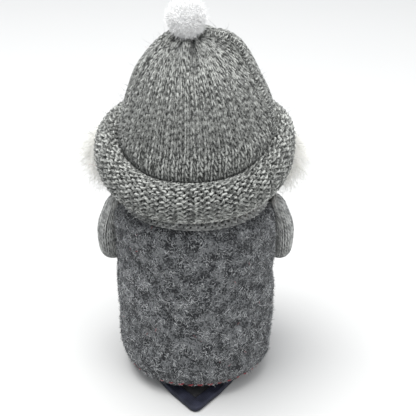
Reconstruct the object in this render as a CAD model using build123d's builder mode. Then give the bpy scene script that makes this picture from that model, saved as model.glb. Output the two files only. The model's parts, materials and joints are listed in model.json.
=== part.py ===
"""A bearded glove puppet in a knitted hat, resting on the post of its display stand.

Millimetres, +Z up, and the puppet's face looks towards -Y. The origin is on the post's axis, on the
underside of the stand's felt pad.
"""

import os
from math import pi

from build123d import *

os.makedirs("parts", exist_ok=True)

# --- Driving dimensions ---------------------------------------------------------------------------
fit_gap = 0.2  # between pieces that are laid into one another
free_gap = 0.3  # between pieces that move past one another
run_gap = 0.05  # radial play of a thread or a tube that turns in its hole

# Display stand: a pointed plate with a stitched rim, and a post that carries the head
pad_thickness = 0.6
plate_thickness = 1.3
rim_height = 0.5
rim_width = 4.4
rim_inset = 0.6
inlay_thickness = 0.4
base_front_radius = 24.0
base_tip_reach = 40.0
base_tip_radius = 2.5
base_corner_radius = 0.3  # where the rim's inner edges meet
base_side_reach = 22.0  # where the two pointed sides swell most, behind the post
base_side_swell = 0.8
post_radius = 4.5
knob_radius = 7.5
knob_socket = 5.0  # how far the post stops below the knob's centre
ferrule_radius = 7.0
ferrule_height = 5.0
ferrule_chamfer = 1.2
screw_radius = 2.0
screw_length = 16.0
screw_head_radius = 3.2
screw_head_height = 0.9

# Wool sleeve: the puppet's body, open at the hem for the hand
sleeve_radius = 32.5
sleeve_wall = 2.4
sleeve_top = 76.4
shoulder_round = 4.0
hem_lift = 2.1  # the hem hangs this far above the stand's rim
hem_tuck = 2.5  # the felt curls in this far at the hem, over the height below
hem_curl = 8.0
hem_round = 0.8
lining_wall = 0.9
neck_hole_radius = 17.5
yoke_inset = 3.6  # the collar stops this far inside the sleeve's edge
yoke_thickness = 2.2
yoke_round = 1.0
stitch_length = 2.4
stitch_thickness = 0.5
stitch_pitch = 4.2
stitch_rise = 1.6

# Head: a stuffed ball on a card finger tube
head_height = 96.5  # centre of the head and of the post's knob
head_radius = 26.5
head_skin = 1.2
head_drop = 13.5  # the ball is cut flat this far below its centre
tube_radius = 11.0
tube_wall = 1.4
tube_drop = 22.5
cap_thickness = 1.4
neck_wall = 1.95
neck_drop = 22.0
tie_width = 1.6
tie_thickness = 1.4
tie_drop = 16.5
nose_radius = 4.6
nose_drop = 5.5
nose_proud = 2.0  # the nose's centre is this far outside the head

# Fleece: a tapered beard that stands off the chest, and a tuft beside each cheek
beard_thickness = 5.0
beard_chest_gap = 6.0
beard_half_width = 22.0
beard_top_drop = 6.5
beard_shelf_drop = 14.5
beard_length = 34.5
beard_tip_radius = 7.0
beard_fold = 4.0  # the curtain's turn from the chin down over the chest
beard_hem = 3.0  # slope of its lower edge
tuft_radius = 11.6
tuft_overhang = 8.5  # a tuft's centre is this far outside the head's side
tuft_front = 14.0
tuft_drop = 4.2

# Knitted hat: a stuffed dome with a rolled brim, leaning back and a little to one side
hat_rise = 1.5  # the brim's plane above the head's centre
hat_tilt = 14.0
hat_roll = 2.5
crown_ease = 2.4  # between the head and the inside of the crown
crown_height = 53.0
crown_wall = 2.6
crown_side = 0.44  # how upright the dome's side is, as a share of its height
crown_shoulder = 0.54  # how wide the dome stays near its top, as a share of its radius
brim_overhang = 8.0  # the rolled brim stands out this far from the crown
brim_half_width = 6.5
brim_half_height = 8.5
seam_width = 2.4
seam_height = 1.2
seam_start = 10.0
seam_end = 12.0
dimple_depth = 3.7
dimple_radius = 16.0
pompom_radius = 7.2
pompom_gap = 1.0
pompom_tie_radius = 0.8
pompom_tie_length = 4.0

# Arms: flat stuffed knitted sleeves with felt mittens, each swinging on a thread and a button
arm_gap = 0.4
arm_thickness = 6.7
arm_width = 11.0
arm_round = 3.0
shoulder_drop = 6.4  # the arms hang from this far below the sleeve's top
elbow = (-2.0, -14.0)  # back and up from the shoulder, as are the next two
wrist = (-14.5, -23.0)
mitten_tip = (-23.0, -27.5)
mitten_width = 9.0
mitten_thickness = 5.4
mitten_round = 2.2
thread_radius = 1.2
button_radius = 3.5
button_thickness = 1.8
button_gap = 0.6

# --- Heights, radii and planes that follow from them ----------------------------------------------
plate_top = pad_thickness + plate_thickness
hem_height = plate_top + rim_height + hem_lift
sleeve_inside = sleeve_radius - sleeve_wall
lining_inside = sleeve_inside - lining_wall
lining_bottom = hem_height + hem_curl
hem_slope = hem_tuck / hem_curl
stitch_face = sleeve_radius - hem_tuck + hem_slope * (stitch_rise + 0.5 * stitch_thickness)
head_bottom = head_height - head_drop
nose_reach = head_radius + nose_proud
tuft_side = head_radius + tuft_overhang
crown_radius = head_radius + crown_ease + crown_wall
brim_reach = crown_radius + brim_overhang
tube_bottom = head_height - tube_drop
cap_bottom = head_height + knob_radius + free_gap
neck_radius = tube_radius + run_gap
neck_outside = neck_radius + neck_wall
arm_inside = sleeve_radius + arm_gap
shoulder_height = sleeve_top - shoulder_drop
button_face = lining_inside - button_gap

head_plane = Plane.XY.offset(head_height)
hat_plane = Plane(Location((0, 0, head_height + hat_rise), (-hat_tilt, hat_roll, 0)))
# The hat's half section: its first axis is the radius, its second the hat's own axis
hat_section = Plane(origin=hat_plane.origin, x_dir=hat_plane.x_dir, z_dir=-hat_plane.y_dir)
hat_axis = Axis(hat_plane.origin, hat_plane.z_dir)
dimple_bottom = crown_height - dimple_depth
dimple_plane = hat_plane.offset(dimple_bottom + dimple_radius)
pompom_plane = hat_plane.offset(dimple_bottom + pompom_gap + pompom_radius)


def save(builder, name):
    """Label a finished piece and write its STEP file."""
    builder.part.label = name
    export_step(builder.part, f"parts/{name}.step")


def base_outline(inset):
    """Sketch the stand's outline: round in front, with two swelling sides that meet at the back."""
    tip_centre = base_tip_reach - base_tip_radius
    share = base_side_reach / tip_centre
    side_radius = base_front_radius + (base_tip_radius - base_front_radius) * share + base_side_swell
    tip_slope = (side_radius - base_tip_radius) / (tip_centre - base_side_reach)
    tip_radius = max(base_tip_radius - inset, base_corner_radius)
    tip_shift = (inset + tip_radius - base_tip_radius) / tip_slope
    Circle(base_front_radius - inset)
    with Locations((0, base_side_reach)):
        Circle(side_radius - inset)
    with Locations((0, tip_centre - tip_shift)):
        Circle(tip_radius)
    make_hull()


def dome_profile(radius, height):
    """Sketch half of the hat's dome, from the brim's lower edge to the top."""
    with BuildLine() as outline:
        Polyline((0, height), (0, -brim_half_height), (radius, -brim_half_height), (radius, 0))
        Bezier((radius, 0), (radius, crown_side * height), (crown_shoulder * radius, height), (0, height))
    make_face(outline.edges())


# --- Display stand --------------------------------------------------------------------------------
# Felt sheet under the plate: its underside is what the object rests on
with BuildPart() as base_pad:
    with BuildSketch():
        base_outline(rim_inset)
    extrude(amount=pad_thickness)
save(base_pad, "base_pad")

# Pointed steel plate, countersunk from below for the post's screw
with BuildPart(Plane.XY.offset(pad_thickness)) as base_plate:
    with BuildSketch(Plane.XY.offset(pad_thickness)):
        base_outline(0)
    extrude(amount=plate_thickness)
    Cylinder(screw_radius + fit_gap, 4 * plate_thickness, mode=Mode.SUBTRACT)
    Cone(
        screw_head_radius + fit_gap,
        screw_radius + fit_gap,
        screw_head_height + fit_gap,
        align=(Align.CENTER, Align.CENTER, Align.MIN),
        mode=Mode.SUBTRACT,
    )
save(base_plate, "base_plate")

# Raised stitched rim round the plate's edge
with BuildPart() as base_rim:
    with BuildSketch(Plane.XY.offset(plate_top)):
        base_outline(rim_inset)
        with BuildSketch(Plane.XY.offset(plate_top), mode=Mode.SUBTRACT):
            base_outline(rim_inset + rim_width)
    extrude(amount=rim_height)
save(base_rim, "base_rim")

# Felt inlay inside the rim, with a hole for the ferrule
with BuildPart() as base_inlay:
    with BuildSketch(Plane.XY.offset(plate_top)):
        base_outline(rim_inset + rim_width + fit_gap)
        Circle(ferrule_radius + fit_gap, mode=Mode.SUBTRACT)
    extrude(amount=inlay_thickness)
save(base_inlay, "base_inlay")

# Turned ferrule round the foot of the post
with BuildPart() as post_ferrule:
    with BuildSketch(Plane.XY.offset(plate_top)):
        Circle(ferrule_radius)
        Circle(post_radius, mode=Mode.SUBTRACT)
    extrude(amount=ferrule_height)
    chamfer(post_ferrule.edges().group_by(Axis.Z)[-1].sort_by(SortBy.RADIUS)[-1], ferrule_chamfer)
save(post_ferrule, "post_ferrule")

# Wooden dowel, drilled from below for the screw
with BuildPart() as stand_post:
    with BuildSketch(Plane.XY.offset(plate_top)):
        Circle(post_radius)
    extrude(amount=head_height - knob_socket - plate_top)
    with BuildSketch(Plane.XY.offset(plate_top)):
        Circle(screw_radius)
    extrude(amount=screw_length - plate_thickness, mode=Mode.SUBTRACT)
save(stand_post, "stand_post")

# Wooden ball glued on the post, bored for it
with BuildPart(head_plane) as post_knob:
    Sphere(knob_radius)
    with Locations((0, 0, -knob_socket)):
        Cylinder(
            post_radius,
            knob_radius,
            align=(Align.CENTER, Align.CENTER, Align.MAX),
            mode=Mode.SUBTRACT,
        )
save(post_knob, "post_knob")

# Countersunk screw up through the plate into the post
with BuildPart(Plane.XY.offset(pad_thickness)) as post_screw:
    Cylinder(screw_radius, screw_length, align=(Align.CENTER, Align.CENTER, Align.MIN))
    Cone(
        screw_head_radius,
        screw_radius,
        screw_head_height,
        align=(Align.CENTER, Align.CENTER, Align.MIN),
    )
save(post_screw, "post_screw")

# --- Wool sleeve ----------------------------------------------------------------------------------
# Felted tube, closed at the shoulders except for the neck hole, with a thread hole at each side
with BuildPart() as wool_sleeve:
    with BuildSketch(Plane.XZ):
        with BuildLine():
            Polyline(
                (sleeve_inside - hem_tuck, hem_height),
                (sleeve_radius - hem_tuck, hem_height),
                (sleeve_radius, hem_height + hem_curl),
                (sleeve_radius, sleeve_top - shoulder_round),
            )
            RadiusArc(
                (sleeve_radius, sleeve_top - shoulder_round),
                (sleeve_radius - shoulder_round, sleeve_top),
                -shoulder_round,
            )
            Polyline(
                (sleeve_radius - shoulder_round, sleeve_top),
                (neck_hole_radius, sleeve_top),
                (neck_hole_radius, sleeve_top - sleeve_wall),
                (sleeve_inside, sleeve_top - sleeve_wall),
                (sleeve_inside, hem_height + hem_curl),
                (sleeve_inside - hem_tuck, hem_height),
            )
        make_face()
    revolve(axis=Axis.Z)
    fillet(wool_sleeve.edges().group_by(Axis.Z)[0].sort_by(SortBy.RADIUS)[-1], hem_round)
    with Locations((0, 0, shoulder_height)):
        Cylinder(thread_radius + run_gap, 3 * sleeve_radius, rotation=(0, 90, 0), mode=Mode.SUBTRACT)
save(wool_sleeve, "wool_sleeve")

# Thin cotton lining inside the felt
with BuildPart() as sleeve_lining:
    with BuildSketch(Plane.XY.offset(lining_bottom)):
        Circle(sleeve_inside)
        Circle(lining_inside, mode=Mode.SUBTRACT)
    extrude(amount=sleeve_top - sleeve_wall - lining_bottom)
    with Locations((0, 0, shoulder_height)):
        Cylinder(thread_radius + run_gap, 3 * sleeve_radius, rotation=(0, 90, 0), mode=Mode.SUBTRACT)
save(sleeve_lining, "sleeve_lining")

# Red running stitches round the hem, lying on the felt
stitch_count = round(2 * pi * stitch_face / stitch_pitch)
with BuildPart(Plane.XY.offset(hem_height + stitch_rise)) as hem_stitching:
    with PolarLocations(stitch_face, stitch_count):
        Box(
            stitch_thickness,
            stitch_length,
            stitch_thickness,
            align=(Align.MIN, Align.CENTER, Align.CENTER),
        )
save(hem_stitching, "hem_stitching")

# Knitted collar lying on the shoulders round the neck
with BuildPart() as neck_yoke:
    with BuildSketch(Plane.XY.offset(sleeve_top)):
        Circle(sleeve_radius - yoke_inset)
        Circle(neck_hole_radius, mode=Mode.SUBTRACT)
    extrude(amount=yoke_thickness)
    fillet(neck_yoke.edges().group_by(Axis.Z)[-1], yoke_round)
save(neck_yoke, "neck_yoke")

# --- Neck -----------------------------------------------------------------------------------------
# Gathered cloth round the finger tube, in which the head turns
with BuildPart() as neck_gather:
    with BuildSketch(Plane.XY.offset(head_height - neck_drop)):
        Circle(neck_outside)
        Circle(neck_radius, mode=Mode.SUBTRACT)
    extrude(amount=neck_drop - head_drop - free_gap)
save(neck_gather, "neck_gather")

# Cord that ties the gathers
with BuildPart() as neck_tie:
    with BuildSketch(Plane.XY.offset(head_height - tie_drop)):
        Circle(neck_outside + tie_thickness)
        Circle(neck_outside, mode=Mode.SUBTRACT)
    extrude(amount=tie_width / 2, both=True)
    tie_edges = neck_tie.edges().filter_by(GeomType.CIRCLE)
    fillet(tie_edges.group_by(SortBy.RADIUS)[-1], 0.45 * tie_width)
save(neck_tie, "neck_tie")

# --- Head -----------------------------------------------------------------------------------------
# Card tube for the puppeteer's finger, which sits over the stand's knob
with BuildPart() as finger_tube:
    with BuildSketch(Plane.XY.offset(tube_bottom)):
        Circle(tube_radius)
        Circle(tube_radius - tube_wall, mode=Mode.SUBTRACT)
    extrude(amount=cap_bottom - tube_bottom)
save(finger_tube, "finger_tube")

# Card disc that closes the tube and rests on the knob
with BuildPart() as tube_cap:
    with BuildSketch(Plane.XY.offset(cap_bottom)):
        Circle(tube_radius)
    extrude(amount=cap_thickness)
save(tube_cap, "tube_cap")

# The space inside the head's cover
with BuildPart() as head_inside:
    with Locations(head_plane):
        Sphere(head_radius - head_skin)
    split(bisect_by=Plane.XY.offset(head_bottom + head_skin), keep=Keep.TOP)

# Stretch cloth over the head's ball, drawn in flat underneath
with BuildPart() as head_cover:
    with Locations(head_plane):
        Sphere(head_radius)
    split(bisect_by=Plane.XY.offset(head_bottom), keep=Keep.TOP)
    add(head_inside.part, mode=Mode.SUBTRACT)
    with BuildSketch(Plane.XY.offset(head_bottom)):
        Circle(tube_radius)
    extrude(amount=head_skin, mode=Mode.SUBTRACT)
save(head_cover, "head_cover")

# Fibre filling of the head, round the tube and its cap
with BuildPart() as head_stuffing:
    add(head_inside.part)
    with BuildSketch(Plane.XY.offset(head_bottom)):
        Circle(tube_radius)
    extrude(amount=cap_bottom + cap_thickness - head_bottom, mode=Mode.SUBTRACT)
save(head_stuffing, "head_stuffing")

# Round felt nose, sewn to the face
with BuildPart() as nose:
    with Locations((0, -nose_reach, head_height - nose_drop)):
        Sphere(nose_radius)
    with Locations(head_plane):
        Sphere(head_radius, mode=Mode.SUBTRACT)
save(nose, "nose")

# --- Hat ------------------------------------------------------------------------------------------
# The space inside the knitted crown
with BuildPart() as hat_inside:
    with BuildSketch(hat_section):
        dome_profile(crown_radius - crown_wall, crown_height - crown_wall)
    revolve(axis=hat_axis)
    with Locations(dimple_plane):
        Sphere(dimple_radius + crown_wall, mode=Mode.SUBTRACT)

# Knitted crown with the dimple that the pompom sits in
with BuildPart() as hat_crown:
    with BuildSketch(hat_section):
        dome_profile(crown_radius, crown_height)
    revolve(axis=hat_axis)
    with Locations(dimple_plane):
        Sphere(dimple_radius, mode=Mode.SUBTRACT)
    hat_envelope = hat_crown.part
    add(hat_inside.part, mode=Mode.SUBTRACT)
save(hat_crown, "hat_crown")

# Fibre filling between the crown and the head
with BuildPart() as hat_stuffing:
    add(hat_inside.part)
    with Locations(head_plane):
        Sphere(head_radius, mode=Mode.SUBTRACT)
save(hat_stuffing, "hat_stuffing")

# Rolled brim: the hat's own knitted edge, turned up purl side out
with BuildPart() as hat_brim:
    with BuildSketch(hat_section):
        with Locations((brim_reach - brim_half_width, 0)):
            Ellipse(brim_half_width, brim_half_height)
        Rectangle(
            crown_radius,
            3 * brim_half_height,
            align=(Align.MIN, Align.CENTER),
            mode=Mode.SUBTRACT,
        )
    revolve(axis=hat_axis)
save(hat_brim, "hat_brim")

# Raised side seam of the crown, from the brim up to the dimple
with BuildPart() as hat_seam:
    with BuildSketch(hat_section):
        dome_profile(crown_radius + seam_height, crown_height + seam_height)
        with BuildSketch(hat_section, mode=Mode.SUBTRACT):
            dome_profile(crown_radius, crown_height)
        Rectangle(2 * brim_reach, 2 * seam_start, mode=Mode.SUBTRACT)
        Rectangle(2 * seam_end, 3 * crown_height, mode=Mode.SUBTRACT)
        mirror(about=Plane.YZ, mode=Mode.REPLACE)
    extrude(amount=seam_width / 2, both=True)
save(hat_seam, "hat_seam")

# Pompom and the thread that ties it into the dimple
with BuildPart(hat_plane.offset(dimple_bottom + free_gap)) as pompom_tie:
    Cylinder(pompom_tie_radius, pompom_tie_length, align=(Align.CENTER, Align.CENTER, Align.MIN))
save(pompom_tie, "pompom_tie")

with BuildPart() as pompom:
    with Locations(pompom_plane):
        Sphere(pompom_radius)
    add(pompom_tie.part, mode=Mode.SUBTRACT)
save(pompom, "pompom")

# --- Fleece ---------------------------------------------------------------------------------------
# Beard: a curved curtain of fleece, cut to a tapered outline
chest = sleeve_radius + beard_chest_gap
shelf = head_height - beard_shelf_drop
beard_top = head_height - beard_top_drop
beard_bottom = head_height - beard_length
with BuildPart() as beard:
    with BuildSketch(Plane.XZ):
        with BuildLine():
            Polyline(
                (head_radius - 2 * head_skin, shelf + beard_fold),
                (chest - beard_fold, shelf),
                (chest, shelf - 2 * beard_fold),
                (chest, beard_bottom),
                (chest + beard_thickness, beard_bottom + beard_hem),
                (chest + beard_thickness, shelf - beard_fold),
                (chest, beard_top - beard_hem),
                (head_radius + beard_fold, beard_top),
                (head_radius - 2 * head_skin, shelf + beard_fold),
            )
        make_face()
    revolve(axis=Axis.Z)
    with Locations(head_plane):
        Sphere(head_radius, mode=Mode.SUBTRACT)
    with BuildSketch(Plane.XZ):
        with Locations((-beard_half_width, beard_top), (beard_half_width, beard_top)):
            Circle(0.5 * beard_thickness)
        with Locations((0, beard_bottom + beard_tip_radius)):
            Circle(beard_tip_radius)
        make_hull()
    extrude(amount=2 * chest, mode=Mode.INTERSECT)
    add(nose.part, mode=Mode.SUBTRACT)
save(beard, "beard")

# Hair tufts that spill out from under the brim beside each cheek
for side, name in ((1, "left_tuft"), (-1, "right_tuft")):
    with BuildPart() as tuft:
        with Locations((side * tuft_side, -tuft_front, head_height - tuft_drop)):
            Sphere(tuft_radius)
        add(hat_envelope, mode=Mode.SUBTRACT)
        add(hat_brim.part, mode=Mode.SUBTRACT)
        add(beard.part, mode=Mode.SUBTRACT)
        with Locations(head_plane):
            Sphere(head_radius, mode=Mode.SUBTRACT)
        add(tuft.solids().sort_by(SortBy.VOLUME)[-1], mode=Mode.REPLACE)
    save(tuft, name)

# --- Arms -----------------------------------------------------------------------------------------
for side, name in ((1, "left"), (-1, "right")):
    # On this plane the second axis is up and the first is +Y times the side
    inner_plane = Plane(origin=(side * arm_inside, 0, 0), x_dir=(0, side, 0), z_dir=(side, 0, 0))
    arm_points = ((0, 0), elbow, wrist, mitten_tip)
    shoulder_point, elbow_point, wrist_point, tip_point = [
        (side * y, shoulder_height + z) for y, z in arm_points
    ]
    wrist_plane = Plane(
        origin=(0, wrist[0], shoulder_height + wrist[1]),
        x_dir=(1, 0, 0),
        z_dir=(0, mitten_tip[0] - wrist[0], mitten_tip[1] - wrist[1]),
    )

    # Knitted arm, stuffed flat, cut square at the wrist
    with BuildPart() as arm:
        with BuildSketch(inner_plane):
            for start, end in ((shoulder_point, elbow_point), (elbow_point, wrist_point)):
                with BuildSketch(inner_plane):
                    with Locations(start, end):
                        Circle(arm_width / 2)
                    make_hull()
        extrude(amount=arm_thickness)
        fillet(arm.edges().filter_by(Plane.YZ), arm_round)
        split(bisect_by=wrist_plane, keep=Keep.BOTTOM)
    save(arm, f"{name}_arm")

    # Felt mitten, sewn to the arm's end
    with BuildPart() as mitten:
        with BuildSketch(inner_plane.offset((arm_thickness - mitten_thickness) / 2)):
            with Locations(wrist_point, tip_point):
                Circle(mitten_width / 2)
            make_hull()
        extrude(amount=mitten_thickness)
        fillet(mitten.edges().filter_by(Plane.YZ), mitten_round)
        split(bisect_by=wrist_plane, keep=Keep.TOP)
    save(mitten, f"{name}_mitten")

    # Thread shank through the sleeve's wall, and the button behind it
    with BuildPart() as arm_thread:
        with BuildSketch(inner_plane):
            with Locations(shoulder_point):
                Circle(thread_radius)
        extrude(amount=button_face - arm_inside)
    save(arm_thread, f"{name}_arm_thread")

    with BuildPart() as arm_button:
        with BuildSketch(inner_plane.offset(button_face - arm_inside)):
            with Locations(shoulder_point):
                Circle(button_radius)
        extrude(amount=-button_thickness)
        fillet(arm_button.edges(), 0.3 * button_thickness)
    save(arm_button, f"{name}_arm_button")
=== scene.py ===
import json
import math

import bmesh
import bpy
import numpy as np
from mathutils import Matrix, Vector


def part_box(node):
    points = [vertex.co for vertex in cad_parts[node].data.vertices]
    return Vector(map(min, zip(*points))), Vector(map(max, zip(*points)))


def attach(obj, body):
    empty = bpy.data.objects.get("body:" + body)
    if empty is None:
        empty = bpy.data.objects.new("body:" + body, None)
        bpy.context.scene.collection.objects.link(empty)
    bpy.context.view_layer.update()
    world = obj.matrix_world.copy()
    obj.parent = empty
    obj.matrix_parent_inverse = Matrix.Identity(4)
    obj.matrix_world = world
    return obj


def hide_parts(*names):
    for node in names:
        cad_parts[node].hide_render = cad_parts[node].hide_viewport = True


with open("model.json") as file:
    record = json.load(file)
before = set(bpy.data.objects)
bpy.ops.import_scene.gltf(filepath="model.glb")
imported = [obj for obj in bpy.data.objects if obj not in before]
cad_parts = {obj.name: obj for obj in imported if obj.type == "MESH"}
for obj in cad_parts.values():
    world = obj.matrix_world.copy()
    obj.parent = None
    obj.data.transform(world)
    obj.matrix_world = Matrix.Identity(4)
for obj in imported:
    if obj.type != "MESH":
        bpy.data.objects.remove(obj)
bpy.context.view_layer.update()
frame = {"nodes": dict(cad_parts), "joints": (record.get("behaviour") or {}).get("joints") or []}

# --- Table and light ------------------------------------------------------------------------------
# The puppet stands on a pale table in a white light tent and is seen from behind and a little above.
# A broad soft light hangs overhead, and a weaker one fills in from beside the camera.
mm = 0.001
aim = Vector((-5.1, 0, 72)) * mm
camera_distance = 366 * mm
camera_rise = math.radians(26.5)
focal_length = 77.9

camera_data = bpy.data.cameras.new("camera")
camera_data.lens = focal_length
camera_data.sensor_width = 36
camera = bpy.data.objects.new("camera", camera_data)
bpy.context.scene.collection.objects.link(camera)
sight = Vector((0, math.cos(camera_rise), math.sin(camera_rise)))
camera.location = aim + sight * camera_distance
camera.rotation_euler = (-sight).to_track_quat("-Z", "Y").to_euler()
camera_data.clip_start = 0.01
bpy.context.scene.camera = camera


def soft_light(name, place, size, power):
    """Hang a square soft box that faces the puppet."""
    data = bpy.data.lights.new(name, "AREA")
    data.size = size
    data.energy = power
    lamp = bpy.data.objects.new(name, data)
    lamp.location = place
    lamp.rotation_euler = (aim - Vector(place)).to_track_quat("-Z", "Y").to_euler()
    bpy.context.scene.collection.objects.link(lamp)


soft_light("top_light", (0.16, 0.02, 1.15), 0.80, 19.0)
soft_light("side_light", (-0.45, 0.45, 0.40), 0.40, 1.2)

world = bpy.data.worlds.new("light_tent")
world.use_nodes = True
world.node_tree.nodes["Background"].inputs["Color"].default_value = (0.94, 0.96, 1.0, 1)
world.node_tree.nodes["Background"].inputs["Strength"].default_value = 0.90
bpy.context.scene.world = world
bpy.context.scene.view_settings.view_transform = "Standard"

table_mesh = bpy.data.meshes.new("table")
table_mesh.from_pydata([(-30, -30, 0), (30, -30, 0), (30, 30, 0), (-30, 30, 0)], [], [(0, 1, 2, 3)])
table = bpy.data.objects.new("table", table_mesh)
bpy.context.scene.collection.objects.link(table)
table_paint = bpy.data.materials.new("pale_table")
table_paint.use_nodes = True
table_paint.node_tree.nodes["Principled BSDF"].inputs["Base Color"].default_value = (0.54, 0.54, 0.53, 1)
table_paint.node_tree.nodes["Principled BSDF"].inputs["Roughness"].default_value = 0.6
table_mesh.materials.append(table_paint)

# --- Wool sleeve ----------------------------------------------------------------------------------
# The body is a tube of boiled wool, felted from marled grey yarn, closed over the shoulders and open
# at the hem. Its surface is a mat of short curly fibres, light over dark, with a few red ones.
joint = {j["name"]: j for j in frame["joints"]}
sleeve_low, sleeve_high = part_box("wool_sleeve")
sleeve_radius = sleeve_high.x
sleeve_wall = 2.4 * mm
shoulder_round = 5 * mm
hem_tuck = 2.5 * mm
hem_curl = 8 * mm
neck_hole_radius = 17.5 * mm


def place(tree, kind, inputs=None, **options):
    """Add a node, set its options, and wire or set its inputs."""
    node = tree.nodes.new(kind)
    for option, value in options.items():
        setattr(node, option, value)
    for name, value in (inputs or {}).items():
        if isinstance(value, bpy.types.NodeSocket):
            tree.links.new(value, node.inputs[name])
        else:
            node.inputs[name].default_value = value
    return node


def sums(tree, operation, *values):
    """One step of arithmetic in a node tree."""
    return place(tree, "ShaderNodeMath", dict(enumerate(values)), operation=operation).outputs[0]


def vector_sums(tree, operation, *values):
    """One step of vector arithmetic in a node tree."""
    return place(tree, "ShaderNodeVectorMath", dict(enumerate(values)), operation=operation).outputs[0]


def scaled(tree, vector, factor):
    """A vector times a number, in a node tree."""
    inputs = {"Vector": vector, "Scale": factor}
    return place(tree, "ShaderNodeVectorMath", inputs, operation="SCALE").outputs[0]


def shown(name, mesh):
    """A new object in the scene that holds this mesh."""
    piece = bpy.data.objects.new(name, mesh)
    bpy.context.scene.collection.objects.link(piece)
    return piece


def form(name, point, around, along, finish=None, closed=False):
    """A surface from a rule that gives a point for each share of the way round and along it.

    It carries those two shares as its UV map. With closed, its last row joins its first. A row that
    is drawn in to one point becomes a closed pole.
    """
    shares_u = np.arange(around) / around
    shares_v = np.arange(along) / along if closed else np.linspace(0, 1, along)
    u, v = (grid.ravel() for grid in np.meshgrid(shares_u, shares_v))
    points = np.stack(np.broadcast_arrays(*point(u, v)), axis=1)
    rows = along if closed else along - 1
    grids = np.meshgrid(np.arange(rows), np.arange(around), indexing="ij")
    row, column = (grid.ravel() for grid in grids)
    right, up = column + 1, row + 1
    corners = [(column, row), (right, row), (right, up), (column, up)]
    faces = np.stack([(r % along) * around + c % around for c, r in corners], axis=1)
    mesh = bpy.data.meshes.new(name)
    mesh.from_pydata(points.tolist(), [], faces.tolist())
    last = along if closed else along - 1
    shares = np.stack([np.stack([c / around, r / last], axis=1) for c, r in corners], axis=1)
    mesh.uv_layers.new(name="cloth").data.foreach_set("uv", shares.astype(np.float32).ravel())
    mesh.polygons.foreach_set("use_smooth", np.ones(len(faces), bool))
    work = bmesh.new()
    work.from_mesh(mesh)
    bmesh.ops.remove_doubles(work, verts=work.verts, dist=0.002 * mm)
    work.to_mesh(mesh)
    work.free()
    if finish:
        mesh.materials.append(finish)
    return shown(name, mesh)


def route(points):
    """A rule that gives a point of a polyline, in two numbers, for a share of its length."""
    points = np.array(points, float)
    steps = np.hypot(*np.diff(points, axis=0).T)
    shares = np.concatenate([[0], np.cumsum(steps)]) / steps.sum()
    return lambda v: (np.interp(v, shares, points[:, 0]), np.interp(v, shares, points[:, 1]))


def waves(seed, count, low, high):
    """A smooth uneven rule of two shares, from -1 to 1, that joins up all the way round."""
    rng = np.random.default_rng(seed)
    turns = rng.integers(low, high, count)
    rises = rng.uniform(low, high, count)
    starts = rng.uniform(0, 2 * math.pi, count)

    def rule(u, v):
        total = sum(
            np.sin(2 * math.pi * (t * u + r * v) + s) for t, r, s in zip(turns, rises, starts)
        )
        return total / math.sqrt(2 * count)

    return rule


def finished(piece, name):
    """The piece as a plain mesh, with what its modifiers make, under its own name."""
    bpy.context.view_layer.update()
    ready = piece.evaluated_get(bpy.context.evaluated_depsgraph_get())
    mesh = bpy.data.meshes.new_from_object(ready)
    mesh.name = name
    return shown(name, mesh)


def run_tree(piece, tree, name, **values):
    """Run a geometry tree with these inputs on a piece, and give the result as a new piece."""
    modifier = piece.modifiers.new(tree.name, "NODES")
    modifier.node_group = tree
    for socket in tree.interface.items_tree:
        if socket.in_out == "INPUT" and socket.name in values:
            modifier[socket.identifier] = values[socket.name]
    made = finished(piece, name)
    piece.modifiers.remove(modifier)
    return made


def new_tree(name, inputs):
    """A geometry tree with named inputs, its input node and its output node."""
    tree = bpy.data.node_groups.new(name, "GeometryNodeTree")
    tree.interface.new_socket("Geometry", in_out="OUTPUT", socket_type="NodeSocketGeometry")
    tree.interface.new_socket("Geometry", in_out="INPUT", socket_type="NodeSocketGeometry")
    for label, kind in inputs.items():
        tree.interface.new_socket(label, in_out="INPUT", socket_type="NodeSocket" + kind)
    return tree, place(tree, "NodeGroupInput").outputs, place(tree, "NodeGroupOutput")


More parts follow.
